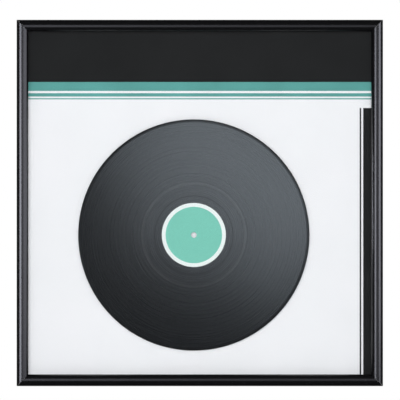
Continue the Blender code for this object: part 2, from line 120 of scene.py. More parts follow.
# Waves on that lean: their height, and the two rates, in radians a turn, whose beat each one is
LEAN_WAVES = (
    (math.radians(0.12), 0.37, 0.113),
    (math.radians(0.32), 1.45, 0.61),
)
# A paler ring between the run-out and the last track, painted sheen: its middle, and the half widths of its
# core and whole
PAINTED_SHEEN_RING_RADIUS = 0.0671
PAINTED_SHEEN_RING_CORE = 0.0005
PAINTED_SHEEN_RING_REACH = 0.0019
RECORD_SEGMENTS = 240
RECORD_SHARP_ANGLE = 8
RIM_SEGMENTS = 26
LABEL_INK_RADIUS = 0.0368
LABEL_SEAT = 0.00002
# The recess that holds a label, the thick land round it, and where the grooves end and the rim starts
RECESS_RADIUS = LABEL_RADIUS + 2 * LABEL_SEAT
RECESS_HEIGHT = LAND_HALF_THICKNESS - LABEL_THICKNESS - LABEL_SEAT
LAND_RADIUS = LABEL_RADIUS + SEAT_GAP + LAND_WIDTH
RIM_START = DISC_RADIUS - RIM_WIDTH

# Printed card, measured up from the frame's middle and in from its right sight edge
HEAD_BAND_LOW = 0.1579
STRIPES = ((HEAD_BAND_LOW, 0.1462), (0.1433, 0.1389), (0.1368, 0.1352))
BAR_TOP = 0.1240
BARS = ((-0.004, 0.0102), (0.0128, 0.0148))

# Foam pads
PAD_WAIST_SHARE = 0.03
PAD_SEGMENTS = 48

# Turn buttons and fasteners
BUTTON_HEAD_RADIUS = 0.0043
BUTTON_TIP_RADIUS = 0.0031
BUTTON_EASE = 0.00018
BUTTON_SEGMENTS = 24
# A shank is a little thinner than the hole that is cut for it
SHANK_SHARE = 0.97
# Shares of a head's height: the slope at its foot, and where its upright brim ends
HEAD_EASE_SHARE = 0.2
BRIM_SHARE = 1 / 3
HEAD_SEGMENTS = 12
SCREW_SHANK_RADIUS = 0.0013
SCREW_TIP_LENGTH = 0.002
SCREW_HEAD_HEIGHT = 0.0014
CROSS_LENGTH = 0.0030
CROSS_WIDTH = 0.0007
CROSS_DEPTH = 0.0009
CROSS_FLOOR_SHARE = 0.45
SCREW_SEGMENTS = 48
# Each screw stands at its own turn: the first angle in degrees, and the step for each letter of its name
SCREW_TWIST_START = 37
SCREW_TWIST_STEP = 61
NAIL_SHANK_RADIUS = 0.0006
NAIL_TIP_LENGTH = 0.0015
NAIL_HEAD_HEIGHT = 0.0006
NAIL_SEGMENTS = 32

# Bumpers: the flat as a share of the radius, and the foot's slope and the dome's start as shares of height
BUMPER_FLAT_SHARE = 0.62
BUMPER_FOOT_SHARE = 0.12
BUMPER_DOME_SHARE = 1 / 3
BUMPER_SEGMENTS = 64
BUMPER_DOME_SEGMENTS = 16

# Wave texture's scale for the print of a screen with a wire every 1.2 mm
SCREEN_SCALE = math.pi / 10 / 0.0012

# Camera: the width that it sees at the frame's front edges, and where its axis meets the frame
CAMERA_DISTANCE = 6.0
VIEW_WIDTH = 0.5213
VIEW_X = 0.00026
VIEW_RISE = 0.00385

# Floor: how far it lies under the frame, how far it reaches, and where it fades into the white behind
FLOOR_GAP = 0.13
FLOOR_REACH = 2.4
FLOOR_FADE_START = 0.5
FLOOR_FADE_END = 2.0
# How much of the floor's light to the camera is its own, near the frame
FLOOR_GLOW = 0.8

# What gloss reflects beside the softboxes, by the direction's share along an axis: where the ramp starts and
# ends, and its strength there
GLOSS_BY_DEPTH = (-0.1, 0.5, 0.02, 1.0)
GLOSS_BY_HEIGHT = (-0.5, 0.6, 0.4, 1.0)

# Light. Two angles together are azimuth and elevation, in degrees.
AMBIENT = 0.165
KEY_RADIANCE = 11.85
KEY_SIZE = (1.0, 1.0)
KEY_DISTANCE = 3.0
KEYS = ((-11, 6), (8, 6))
BACK_KEYS = ((145, 25), (215, 25))
BACK_KEY_RADIANCE = 11.0
# Softboxes that show in the lacquer: name, rails, azimuth, elevation, size, radiance
RAIL_LAMPS = (
    ("left_strip", ("left", "top", "bottom"), -35, 0, (1.15, 0.8), 8.5),
    ("left_strip_far", ("right",), -23.5, 0, (0.75, 0.8), 7.0),
    ("right_strip", ("right",), 39, 3.3, (1.35, 0.9), 5.5),
    ("right_strip_across", ("top", "bottom"), 37, 3.3, (1.15, 0.9), 5.5),
    ("right_wall", ("left",), 56, 4, (4.6, 1.06), 2.7),
    ("grazing_strip", ("right",), -88.5, 0, (0.1, 0.8), 30),
    ("front_panel", ("left", "right"), 0, 0, (1.2, 1.0), 1.25),
    ("front_panel_across", ("top", "bottom"), 0, 0, (1.2, 1.25), 0.68),
    ("front_left_panel", ("top", "bottom"), -16.5, 0, (1.2, 1.25), 0.85),
)
RAIL_LAMP_DISTANCE = 2.6
RAIL_LAMP_COLOUR = (0.95, 0.965, 1.09)
# The record's own softboxes: which way they lie from the lens, and for each one how far off it is, how far
# its edge is from the line to the lens, and its radiance. In one plane, one would hide the other.
SHEEN_ANGLE = math.radians(51)
SHEEN_STEPS = ((3.0, -0.02, 3.7), (3.1, 0.55, 1.5))
SHEEN_SIZE = (2.3, 1.3)
SHEEN_COLOUR = (0.80, 0.90, 1.0)
# A small softbox beside the lens, which the inner turns on the left show
NEAR_BOX_DISTANCE = 2.9
NEAR_BOX_ASIDE = -0.25
NEAR_BOX_SIZE = (0.32, 0.32)
NEAR_BOX_RADIANCE = 3.0
# Panels that the record shows to someone who stands to one side
SIDE_PANELS = ((-54, -12), (54, -12))
SIDE_PANEL_DISTANCE = 3.0
SIDE_PANEL_SIZE = (1.0, 2.0)
SIDE_PANEL_RADIANCE = 4.5

# Each side of the frame is the top side turned about Y
SIDES = (("top", 0), ("right", 90), ("bottom", 180), ("left", 270))


def add_node(tree, kind, inputs=None, **settings):
    """Add a node. Each input is given a value, or linked where it gets another node's output."""
    made = tree.nodes.new(kind)
    for setting, value in settings.items():
        setattr(made, setting, value)
    for socket, value in (inputs or {}).items():
        if isinstance(value, bpy.types.NodeSocket):
            tree.links.new(value, made.inputs[socket])
        else:
            made.inputs[socket].default_value = value
    return made


class Look:
    """One Principled material, and the procedural detail that hangs on it."""

    def __init__(self, name, colour, roughness, **sockets):
        self.material = bpy.data.materials.new(name)
        self.material.use_nodes = True
        self.tree = self.material.node_tree
        self.shader = self.tree.nodes["Principled BSDF"]
        self.shader.inputs["Base Color"].default_value = (*colour, 1)
        self.shader.inputs["Roughness"].default_value = roughness
        for socket, value in sockets.items():
            self.shader.inputs[socket.replace("_", " ")].default_value = value
        self.place = self.node("ShaderNodeTexCoord").outputs["Object"]

    def node(self, kind, inputs=None, **settings):
        return add_node(self.tree, kind, inputs, **settings)

    def math(self, operation, first, second=0.0, third=0.0):
        inputs = {0: first, 1: second, 2: third}
        return self.node("ShaderNodeMath", inputs, operation=operation).outputs[0]

    def noise(self, scale, detail=3.0, stretch=(1, 1, 1)):
        """Noise with a feature size of about 1 / scale metres, drawn out along an axis by a small stretch."""
        stretched = self.node("ShaderNodeVectorMath", {0: self.place, 1: stretch}, operation="MULTIPLY")
        inputs = {"Vector": stretched.outputs[0], "Scale": scale, "Detail": detail}
        return self.node("ShaderNodeTexNoise", inputs).outputs["Fac"]

    def radius(self):
        """Distance from the piece's own Y axis."""
        flat = self.node("ShaderNodeVectorMath", {0: self.place, 1: (1, 0, 1)}, operation="MULTIPLY")
        return self.node("ShaderNodeVectorMath", {0: flat.outputs[0]}, operation="LENGTH").outputs["Value"]

    def ring_noise(self, scale, detail=2.0):
        """Noise that changes only with the distance from the axis."""
        inputs = {"W": self.radius(), "Scale": scale, "Detail": detail}
        return self.node("ShaderNodeTexNoise", inputs, noise_dimensions="1D").outputs["Fac"]

    def spread(self, value, low, high, start=0.3, end=0.7):
        """Map a noise value onto a range of numbers."""
        inputs = {"Value": value, "From Min": start, "From Max": end, "To Min": low, "To Max": high}
        return self.node("ShaderNodeMapRange", inputs).outputs["Result"]

    def vary_colour(self, value, dark, light, start=0.3, end=0.7):
        """Mix two colours by a noise value.

        The colour mixer's sockets go by number: 0 is its share, 6 and 7 are its colours, 2 is its output.
        """
        inputs = {0: self.spread(value, 0, 1, start, end), 6: (*dark, 1), 7: (*light, 1)}
        mixed = self.node("ShaderNodeMix", inputs, data_type="RGBA")
        self.tree.links.new(mixed.outputs[2], self.shader.inputs["Base Color"])

    def vary_roughness(self, value, low, high):
        self.tree.links.new(self.spread(value, low, high), self.shader.inputs["Roughness"])

    def bump(self, height, distance, strength=1.0):
        """Relief whose full height is the distance. A second call adds to the first."""
        inputs = {"Height": height, "Distance": distance, "Strength": strength}
        normal = self.shader.inputs["Normal"]
        if normal.links:
            inputs["Normal"] = normal.links[0].from_socket
        made = self.node("ShaderNodeBump", inputs)
        self.tree.links.new(made.outputs["Normal"], normal)


def black_lacquer():
    look = Look("black_lacquer", (0.0042, 0.0042, 0.0048), 0.2)
    look.vary_roughness(look.noise(220, 4, stretch=(0.05, 1, 1)), 0.192, 0.208)
    look.bump(look.noise(700, 2), 0.000001)
    look.bump(look.noise(2600, 2, stretch=(0.04, 1, 1)), 0.0000009)
    return look.material


def stained_wood():
    look = Look("stained_wood", (0.012, 0.011, 0.010), 0.62)
    grain = look.noise(900, 5, stretch=(0.03, 1, 1))
    look.vary_colour(grain, (0.008, 0.007, 0.0065), (0.022, 0.019, 0.016))
    look.vary_roughness(look.noise(300, 3, stretch=(0.1, 1, 1)), 0.5, 0.72)
    look.bump(grain, 0.00006)
    return look.material


def clear_glass():
    """Float glass with the least green in it. The faint cloudiness is what a wiping cloth leaves."""
    look = Look("clear_glass", (0.99, 1.0, 0.995), 0.0, Transmission_Weight=1.0, IOR=1.52)
    look.vary_colour(look.noise(9, 2), (0.982, 0.995, 0.99), (0.995, 1.0, 0.998))
    return look.material


def black_strip():
    look = Look("black_strip", (0.02, 0.02, 0.02), 0.8)
    look.vary_colour(look.noise(900, 3), (0.015, 0.015, 0.015), (0.026, 0.026, 0.026))
    look.bump(look.noise(2200, 2), 0.00002)
    return look.material


def card_stock(name, dark, light, roughness, **sockets):
    """Coated card: a faint cloudiness, and the fibres under the coating."""
    look = Look(name, light, roughness, **sockets)
    look.vary_colour(look.noise(14, 3), dark, light)
    look.vary_roughness(look.noise(400, 3), roughness - 0.04, roughness + 0.04)
    look.bump(look.noise(1800, 3), 0.000012)
    return look.material


def black_vinyl():
    look = Look("black_vinyl", (0.0098, 0.0105, 0.012), 0.27)
    bands = look.spread(look.ring_noise(420, 4), 0, 0.08)
    # The paler ring is painted sheen: colour that stands in for a smoother band's brighter gloss
    aside = look.math("ABSOLUTE", look.math("SUBTRACT", look.radius(), PAINTED_SHEEN_RING_RADIUS))
    ring = look.spread(aside, 1, 0, PAINTED_SHEEN_RING_CORE, PAINTED_SHEEN_RING_REACH)
    look.vary_colour(look.math("ADD", bands, ring), (0.0092, 0.0099, 0.0112), (0.021, 0.022, 0.0235), 0, 1)
    look.vary_roughness(look.ring_noise(900, 5), 0.263, 0.277)
    look.bump(look.ring_noise(9000, 1), 0.0000015)
    return look.material


def label_paper(name, dark, light):
    look = Look(name, light, 0.6)
    look.vary_colour(look.noise(500, 4), dark, light)
    look.vary_roughness(look.noise(900, 2), 0.52, 0.68)
    look.bump(look.noise(2400, 3), 0.00001)
    return look.material


def white_foam():
    look = Look("white_foam", (0.8, 0.8, 0.77), 0.9)
    cells = look.node("ShaderNodeTexVoronoi", {"Vector": look.place, "Scale": 2600.0}).outputs["Distance"]
    look.vary_colour(look.noise(800, 2), (0.74, 0.74, 0.71), (0.84, 0.84, 0.81))
    look.bump(cells, 0.0001)
    return look.material


def brown_hardboard():
    """Pressed fibres, with the print of the wire screen that the mat was pressed on."""
    look = Look("brown_hardboard", (0.2, 0.12, 0.066), 0.7)
    fibres = look.noise(1500, 8)
    clouds = look.noise(90, 4)
    mottle = look.math("MULTIPLY_ADD", look.math("SUBTRACT", clouds, 0.5), 0.16, fibres)
    look.vary_colour(mottle, (0.115, 0.062, 0.031), (0.29, 0.185, 0.11))
    look.vary_roughness(clouds, 0.6, 0.8)
    spin = {"Vector": look.place, "Angle": math.radians(45)}
    turned = look.node("ShaderNodeVectorRotate", spin, rotation_type="Y_AXIS").outputs[0]
    for axis in ("X", "Z"):
        inputs = {"Vector": turned, "Scale": SCREEN_SCALE, "Distortion": 0.6, "Detail": 1.0}
        wires = look.node("ShaderNodeTexWave", inputs, bands_direction=axis, wave_profile="SIN")
        look.bump(wires.outputs["Fac"], 0.00022)
    look.bump(fibres, 0.0002)
    return look.material


def blued_steel():
    look = Look("blued_steel", (0.2, 0.21, 0.24), 0.4, Metallic=1.0)
    look.vary_colour(look.noise(700, 3), (0.14, 0.15, 0.19), (0.27, 0.27, 0.29))
    look.vary_roughness(look.noise(1200, 3), 0.32, 0.5)
    look.bump(look.noise(2600, 3), 0.00001)
    return look.material


def zinc_steel():
    """Zinc plating: bluish white, with faint lines from the rolled strip and a little milky bloom."""
    look = Look("zinc_steel", (0.52, 0.54, 0.56), 0.3, Metallic=1.0)
    look.vary_colour(look.noise(300, 4), (0.42, 0.44, 0.47), (0.6, 0.61, 0.62))
    look.vary_roughness(look.noise(2200, 4, stretch=(1, 1, 0.06)), 0.2, 0.38)
    look.bump(look.noise(4200, 3, stretch=(1, 1, 0.04)), 0.00002)
    return look.material


def painted_shade_recess():
    """Darker, duller plating on the walls of the driver's recess: painted shade in the hollow."""
    look = Look("painted_shade_recess", (0.12, 0.122, 0.126), 0.5, Metallic=1.0)
    look.vary_roughness(look.noise(3000, 3), 0.42, 0.6)
    return look.material


def brass_plate():
    """Thin brass plating on rolled strip, a little darker where hands have been."""
    look = Look("brass_plate", (0.62, 0.42, 0.17), 0.28, Metallic=1.0)
    look.vary_colour(look.noise(220, 5), (0.46, 0.29, 0.105), (0.7, 0.49, 0.215))
    look.vary_roughness(look.noise(1800, 4, stretch=(0.06, 1, 1)), 0.2, 0.38)
    look.bump(look.noise(4200, 3, stretch=(0.04, 1, 1)), 0.00002)
    return look.material


def grey_rubber():
    look = Look("grey_rubber", (0.42, 0.42, 0.4), 0.45, Subsurface_Weight=0.2, Subsurface_Scale=0.002)
    look.vary_roughness(look.noise(900, 3), 0.38, 0.52)
    look.bump(look.noise(1500, 2), 0.00001)
    return look.material


def arc(centre, radius, start, end, segments):
    """Points along an arc, with angles in radians."""
    points = []
    for step in range(segments + 1):
        angle = start + (end - start) * step / segments
        points.append((centre[0] + radius * math.cos(angle), centre[1] + radius * math.sin(angle)))
    return points


def dome(outer, inner, low, high, segments):
    """A quarter of an ellipse, from the outer radius up to the inner one."""
    quarter = arc((0, 0), 1, 0, math.pi / 2, segments)
    return [(inner + across * (outer - inner), low + up * (high - low)) for across, up in quarter]


def mesh_of(name, points, faces, materials, bands=None, sharp=SHARP_ANGLE):
    """A closed mesh with its faces out. bands gives each face's material."""
    mesh = bpy.data.meshes.new(name)
    mesh.from_pydata(points, [], faces)
    for material in materials:
        mesh.materials.append(material)
    if bands:
        mesh.polygons.foreach_set("material_index", bands)
    bm = bmesh.new()
    bm.from_mesh(mesh)
    bmesh.ops.recalc_face_normals(bm, faces=bm.faces[:])
    bm.to_mesh(mesh)
    bm.free()
    mesh.shade_smooth()
    mesh.set_sharp_from_angle(angle=math.radians(sharp))
    return mesh


def turned_mesh(name, profile, segments, materials, bands=None, closed=False, sharp=SHARP_ANGLE):
    """Turn a profile, given as radius and y, round the Y axis. bands gives each stretch's material."""
    points = []
    rings = []
    for radius, y in profile:
        count = segments if radius > TINY else 1
        rings.append([len(points) + step % count for step in range(segments)])
        for step in range(count):
            angle = 2 * math.pi * step / segments
            points.append((radius * math.cos(angle), y, radius * math.sin(angle)))
    stretches = list(zip(rings, rings[1:]))
    if closed:
        stretches.append((rings[-1], rings[0]))
    faces = []
    face_bands = []
    for index, (near, far) in enumerate(stretches):
        for step in range(segments):
            after = (step + 1) % segments
            corners = (near[step], near[after], far[after], far[step])
            faces.append(tuple(dict.fromkeys(corners)))
            face_bands.append(bands[index] if bands else 0)
    return mesh_of(name, points, faces, materials, face_bands, sharp)


def lofted_mesh(name, rings, materials, bands=None):
    """Join rings of points and close both ends. bands gives the material of each stretch round a ring."""
    count = len(rings[0])
    points = [point for ring in rings for point in ring]
    faces = [tuple(range(count)), tuple(range(len(points) - count, len(points)))]
    face_bands = [bands[-1] if bands else 0] * 2
    for start in range(0, len(points) - count, count):
        for here in range(count):
            after = (here + 1) % count
            faces.append((start + here, start + after, start + count + after, start + count + here))
            face_bands.append(bands[here] if bands else 0)
    return mesh_of(name, points, faces, materials, face_bands)


def add_piece(name, mesh, replaced, slot, body="frame", place=Matrix()):
    """Put a mesh in the scene in the place of a CAD node."""
    piece = bpy.data.objects.new(name, mesh)
    bpy.context.collection.objects.link(piece)
    piece.matrix_world = place
    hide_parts(replaced)
    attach(piece, body)
    return piece


def dress(node, material):
    """Give a CAD node that keeps its own mesh its finish."""
    mesh = frame["nodes"][node].data
    mesh.materials.clear()
    mesh.materials.append(material)


def node_middle(node):
    low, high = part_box(node)
    return (Vector(low) + Vector(high)) / 2


def side_turn(degrees):
    return Matrix.Translation(MIDDLE) @ Matrix.Rotation(math.radians(degrees), 4, "Y")


def carve(mesh, cutters):
    """Cut closed meshes out of a mesh. The walls of the cuts take the mesh's last material."""
    piece = bpy.data.objects.new("carved", mesh)
    bpy.context.collection.objects.link(piece)
    made = []
    for cutter_mesh in cutters:
        for material in mesh.materials:
            cutter_mesh.materials.append(material)
        last = len(mesh.materials) - 1
        cutter_mesh.polygons.foreach_set("material_index", [last] * len(cutter_mesh.polygons))
        cutter = bpy.data.objects.new("cutter", cutter_mesh)
        bpy.context.collection.objects.link(cutter)
        made.append(cutter)
        boolean = piece.modifiers.new("cut", "BOOLEAN")
        boolean.operation = "DIFFERENCE"
        boolean.solver = "EXACT"
        boolean.object = cutter
    bpy.context.view_layer.update()
    carved = bpy.data.meshes.new_from_object(piece.evaluated_get(bpy.context.evaluated_depsgraph_get()))
    for item in (piece, *made):
        bpy.data.objects.remove(item)
    carved.shade_smooth()
    carved.set_sharp_from_angle(angle=math.radians(SHARP_ANGLE))
    return carved


def edge_round(crown_radius, edge_radius):
    """Depth of the centre of an arc from the crown to a side wall, and the angle where it meets the crown."""
    reach = crown_radius - edge_radius
    aside = RAIL_FACE / 2 - edge_radius
    drop = math.sqrt(reach * reach - aside * aside)
    return crown_radius - drop, math.atan2(drop, aside)


def moulding_outline(inset):
    """Section of a rail: distance in from the outer side, and depth behind the crown's top.

    The inset draws it in all round. The second list gives each stretch's material: 0 is lacquer, 1 is stain.
    """
    crown_radius = ((RAIL_FACE / 2) ** 2 + CROWN_RISE**2) / (2 * CROWN_RISE)
    outer_depth, outer_angle = edge_round(crown_radius, OUTER_EDGE_RADIUS)
    sight_depth, sight_angle = edge_round(crown_radius, SIGHT_EDGE_RADIUS)
    outer_centre = (OUTER_EDGE_RADIUS, outer_depth)
    sight_centre = (RAIL_FACE - SIGHT_EDGE_RADIUS, sight_depth)
    crown_centre = (RAIL_FACE / 2, crown_radius)
    crown_start = math.pi + outer_angle
    crown_end = 2 * math.pi - sight_angle
    outline = arc(outer_centre, OUTER_EDGE_RADIUS - inset, math.pi, crown_start, EDGE_SEGMENTS)
    outline += arc(crown_centre, crown_radius - inset, crown_start, crown_end, CROWN_SEGMENTS)[1:]
    outline += arc(sight_centre, SIGHT_EDGE_RADIUS - inset, crown_end, 2 * math.pi, EDGE_SEGMENTS)[1:]
    lip_depth = PANE_LOW.y - CROWN_Y - SEAT_GAP
    rebate = RAIL_FACE - LIP_WIDTH
    lacquered = len(outline)
    outline += [
        (RAIL_FACE - inset, lip_depth - inset),
        (rebate - inset, lip_depth - inset),
        (rebate - inset, RAIL_DEPTH - BACK_CHAMFER - inset),
        (rebate - BACK_CHAMFER - inset, RAIL_DEPTH - inset),
        (BACK_CHAMFER + inset, RAIL_DEPTH - inset),
        (inset, RAIL_DEPTH - BACK_CHAMFER - inset),
    ]
    bands = [0] * lacquered + [1] * (len(outline) - lacquered - 1) + [0]
    return outline, bands


def rail_mesh(materials):
    """The top rail about the frame's middle, with its mitres eased a little."""
    rings = []
    half = OUTER_SIZE / 2
    for way, inset, back in ((-1, MITRE_CHAMFER, 0), (-1, 0, 1), (1, 0, 1), (1, MITRE_CHAMFER, 0)):
        outline, bands = moulding_outline(inset)
        end = half - MITRE_SETBACK - back * MITRE_CHAMFER
        rings.append([(way * (end - inward), depth - RAIL_DEPTH, half - inward) for inward, depth in outline])
    return lofted_mesh("rail", rings, materials, bands)


def slot_cutter(node, place):
    """A flat fastener's own mesh in a rail's space, with clearance all round and its back end raised."""
    cutter = frame["nodes"][node].data.copy()
    cutter.materials.clear()
    cutter.transform(place.inverted())
    bm = bmesh.new()
    bm.from_mesh(cutter)
    bmesh.ops.remove_doubles(bm, verts=bm.verts[:], dist=TINY)
    middle = sum(vertex.co.y for vertex in bm.verts) / len(bm.verts)
    aside = [vertex.normal * vertex.calc_shell_factor() * SLOT_CLEARANCE for vertex in bm.verts]
    for vertex, move in zip(bm.verts, aside):
        vertex.co += move
        if vertex.co.y > middle:
            vertex.co.y += CUT_OVERRUN
    bm.to_mesh(cutter)
    bm.free()
    return cutter


def hole_cutter(node, place, shank_radius, tip_length):
    """The pilot hole of a screw or nail, in a rail's space."""
    low = Vector(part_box(node)[0])
    middle = node_middle(node)
    depth = BACK_Y - low.y
    radius = shank_radius + SLOT_CLEARANCE
    profile = [(0, -depth), (radius, tip_length - depth), (radius, CUT_OVERRUN), (0, CUT_OVERRUN)]
    cutter = turned_mesh("pilot_hole", profile, HOLE_SEGMENTS, ())
    cutter.transform(place.inverted() @ Matrix.Translation((middle.x, BACK_Y, middle.z)))
    return cutter


def near_side(node, degrees):
    """Whether a CAD node reaches the rail that lies at this turn."""
    middle = side_turn(degrees).inverted() @ node_middle(node)
    return middle.z > OUTER_SIZE / 2 - RAIL_FACE and abs(middle.x) < middle.z + RAIL_FACE / 2


def add_rails(lacquer, wood):
    """Four rails by side, with slots for the V-nails and pilot holes for the screws and nails."""
    rails = {}
    for side, degrees in SIDES:
        place = side_turn(degrees)
        cutters = []
        for node in frame["nodes"]:
            if not near_side(node, degrees):
                continue
            if node.startswith("v_nail_"):
                cutters.append(slot_cutter(node, place))
            if node.startswith("button_screw_"):
                cutters.append(hole_cutter(node, place, SCREW_SHANK_RADIUS, SCREW_TIP_LENGTH))
            if node.startswith("hanger_nail_"):
                cutters.append(hole_cutter(node, place, NAIL_SHANK_RADIUS, NAIL_TIP_LENGTH))
        mesh = carve(rail_mesh((lacquer, wood)), cutters)
        rails[side] = add_piece("moulding_" + side, mesh, "rail_" + side, "black_lacquer", place=place)
    return rails


def slab_mesh(name, low, high, materials, x_cuts=(), z_cuts=(), band_of=None):
    """A slab cut into a lattice. band_of gives the material of a front cell from its middle."""
    xs = sorted((low.x, *x_cuts, high.x))
    zs = sorted((low.z, *z_cuts, high.z))
    points = [(x, y, z) for y in (low.y, high.y) for z in zs for x in xs]
    wide = len(xs)
    layer = wide * len(zs)
    faces = []
    bands = []
    for back in (0, 1):
        for row in range(len(zs) - 1):
            for column in range(wide - 1):
                start = back * layer + row * wide + column
                faces.append((start, start + 1, start + wide + 1, start + wide))
                middle_x = (xs[column] + xs[column + 1]) / 2
                middle_z = (zs[row] + zs[row + 1]) / 2
                bands.append(band_of(middle_x, middle_z) if band_of and not back else 0)
    ring = list(range(wide)) + [row * wide + wide - 1 for row in range(1, len(zs))]
    ring += [layer - 1 - step for step in range(1, wide)] + [row * wide for row in range(len(zs) - 2, 0, -1)]
    for here, after in zip(ring, ring[1:] + ring[:1]):
        faces.append((here, after, after + layer, here + layer))
        bands.append(0)
    return mesh_of(name, points, faces, materials, bands)


def add_card(stock, charcoal, teal):
    """The printed card: a head band, three stripes under it, and two bars beside the record."""
    sight_right = -SIGHT_LEFT
    z_cuts = [MIDDLE.z + HEAD_BAND_LOW, MIDDLE.z + BAR_TOP]
    for top, low in STRIPES[1:]:
        z_cuts += [MIDDLE.z + top, MIDDLE.z + low]
    z_cuts.append(MIDDLE.z + STRIPES[0][1])
    x_cuts = [sight_right - reach for bar in BARS for reach in bar]

    def band_of(x, z):
        height = z - MIDDLE.z
        if height > HEAD_BAND_LOW:
            return 1
        if any(low < height < top for top, low in STRIPES):
            return 2
        if height < BAR_TOP and any(near < sight_right - x < far for near, far in BARS):
            return 1
        return 0

    mesh = slab_mesh("printed_card", CARD_LOW, CARD_HIGH, (stock, charcoal, teal), x_cuts, z_cuts, band_of)
    add_piece("printed_card", mesh, "insert_card", "printed_card")


def add_pane(glass):
    """The glass, its edges eased. It is in the way of the camera alone, so that it casts no shadow."""
    rings = []
    for y, inset in (
        (PANE_LOW.y, PANE_EASE),
        (PANE_LOW.y + PANE_EASE, 0),
        (PANE_HIGH.y - PANE_EASE, 0),
        (PANE_HIGH.y, PANE_EASE),
    ):
        low_x, high_x = PANE_LOW.x + inset, PANE_HIGH.x - inset
        low_z, high_z = PANE_LOW.z + inset, PANE_HIGH.z - inset
        rings.append([(low_x, y, low_z), (high_x, y, low_z), (high_x, y, high_z), (low_x, y, high_z)])
    pane = add_piece("glass_pane", lofted_mesh("glass_pane", rings, (glass,)), "front_pane", "clear_glass")
    pane.visible_diffuse = False
    pane.visible_glossy = False
    pane.visible_shadow = False
    return pane


def groove_band(inner, outer, level):
    """A band of groove about a level: each turn is a long facet that leans outward, and a short riser."""
    turns = max(1, round((outer - inner) / GROOVE_PITCH))
    pitch = (outer - inner) / turns
    profile = []
    for turn in range(turns):
        radius = inner + turn * pitch
        share = (radius - RECESS_RADIUS) / (RIM_START - RECESS_RADIUS)
        lean = INNER_LEAN + (OUTER_LEAN - INNER_LEAN) * share
        for height, rate, beat in LEAN_WAVES:
            lean += height * math.sin(radius / GROOVE_PITCH * rate) * math.sin(radius / GROOVE_PITCH * beat)
        drop = (1 - RISER_SHARE) * pitch * math.tan(lean)
        profile.append((radius, level + drop / 2))
        profile.append((radius + (1 - RISER_SHARE) * pitch, level - drop / 2))
    return profile


def record_front():
    """Radius and height over the disc's middle plane of the pressed face."""
    face = [
        (SPINDLE_HOLE_RADIUS, RECESS_HEIGHT),
        (RECESS_RADIUS, RECESS_HEIGHT),
        (RECESS_RADIUS, LAND_HALF_THICKNESS),
    ]
    face += groove_band(RECESS_RADIUS + SEAT_GAP, LAND_RADIUS, LAND_HALF_THICKNESS - LABEL_SEAT)
    start = LAND_RADIUS + LAND_SLOPE
    for share, width in GAP_GROOVES:
        middle = share * DISC_RADIUS
        face += groove_band(start, middle - width / 2, GROOVE_HALF_THICKNESS)
        depth = width / 2 * math.tan(GAP_GROOVE_SLOPE)
        low = face[-1][1]
        face += [(middle - width / 2, low), (middle, low - depth)]
        start = middle + width / 2
    face += groove_band(start, RIM_START, GROOVE_HALF_THICKNESS)
    face.append((RIM_START, GROOVE_HALF_THICKNESS))
    return face


def rim_profile():
    """The rim from front to back: a face that tapers on a slow arc, a round edge, and the same again."""
    turn_start = math.pi / 2 - RIM_START_SLOPE
    turn_end = math.pi / 2 - RIM_END_SLOPE
    drop_share = math.sin(turn_start) - math.sin(turn_end)
    run_share = math.cos(turn_end) - math.cos(turn_start)
    # The taper's radius follows from the width, which the taper and the round edge share
    edge_share = (1 - math.cos(turn_end)) / math.sin(turn_end)
    radius = (RIM_WIDTH - RIM_HALF_THICKNESS * edge_share) / (run_share - drop_share * edge_share)
    centre = (RIM_START - radius * math.cos(turn_start), RIM_HALF_THICKNESS - radius * math.sin(turn_start))
    taper = arc(centre, radius, turn_start, turn_end, RIM_SEGMENTS)
    edge_radius = taper[-1][1] / math.sin(turn_end)
    edge = arc((DISC_RADIUS - edge_radius, 0), edge_radius, turn_end, -turn_end, RIM_SEGMENTS)
    half = taper + edge[1 : RIM_SEGMENTS // 2]
    front = [(across, -up) for across, up in half]
    return front + [(DISC_RADIUS, 0)] + [(across, up) for across, up in half[::-1]]


def add_record(vinyl, teal, white, plain):
    """The pressed disc and the paper labels in its recesses."""
    front = [(radius, -height) for radius, height in record_front()]
    back = [
        (RIM_START, GROOVE_HALF_THICKNESS),
        (LAND_RADIUS + LAND_SLOPE, GROOVE_HALF_THICKNESS),
        (LAND_RADIUS, LAND_HALF_THICKNESS),
        (RECESS_RADIUS, LAND_HALF_THICKNESS),
        (RECESS_RADIUS, RECESS_HEIGHT),
        (SPINDLE_HOLE_RADIUS, RECESS_HEIGHT),
    ]
    profile = front + rim_profile() + back
    sharp = RECORD_SHARP_ANGLE
    mesh = turned_mesh("pressed_disc", profile, RECORD_SEGMENTS, (vinyl,), closed=True, sharp=sharp)
    place = Matrix.Translation(DISC_MIDDLE)
    disc = add_piece("pressed_disc", mesh, "record_disc", "black_vinyl", place=place)

    hole = SPINDLE_HOLE_RADIUS + LABEL_SEAT
    near = LAND_HALF_THICKNESS - LABEL_THICKNESS
    far = LAND_HALF_THICKNESS
    ease = LABEL_THICKNESS / 4
    section = [
        (hole, near),
        (LABEL_RADIUS, near),
        (LABEL_RADIUS, far - ease),
        (LABEL_RADIUS - ease, far),
        (LABEL_INK_RADIUS, far),
        (hole + ease, far),
        (hole, far - ease),
    ]
    for name, way, materials, slot in (
        ("front", -1, (white, teal), "label_paper"),
        ("back", 1, (plain, plain), "plain_paper"),
    ):
        profile = [(radius, way * height) for radius, height in section]
        bands = [0, 0, 0, 0, 1, 0, 0]
        mesh = turned_mesh("label_" + name, profile, RECORD_SEGMENTS, materials, bands, closed=True)
        add_piece("label_" + name, mesh, "record_label_" + name, slot, place=place)
    return disc


